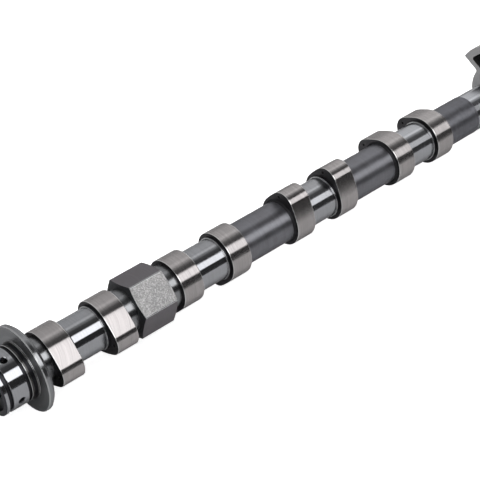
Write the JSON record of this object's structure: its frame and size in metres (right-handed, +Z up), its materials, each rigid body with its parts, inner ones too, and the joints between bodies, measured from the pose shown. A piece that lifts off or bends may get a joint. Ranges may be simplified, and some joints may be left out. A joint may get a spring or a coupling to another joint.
{
  "type": "camshaft",
  "caption": "Cast overhead camshaft with lobes in pairs, thrust flange, spanner hexagon, sensor wheel at the far end and a locating pin in the bored nose.",
  "frame": {"origin": "on the shaft's axis, at the front face of the thrust flange", "axes": "+X along the shaft's axis from the nose toward the sensor wheel, +Z up as the shaft lies at rest"},
  "size_m": [0.448, 0.067, 0.071],
  "materials": {
    "cast_iron": "ground and machined",
    "pin_steel": "ground"
  },
  "bodies": {
    "root": {"camshaft": "cast_iron", "locating_pin": "pin_steel"}
  },
  "joints": []
}
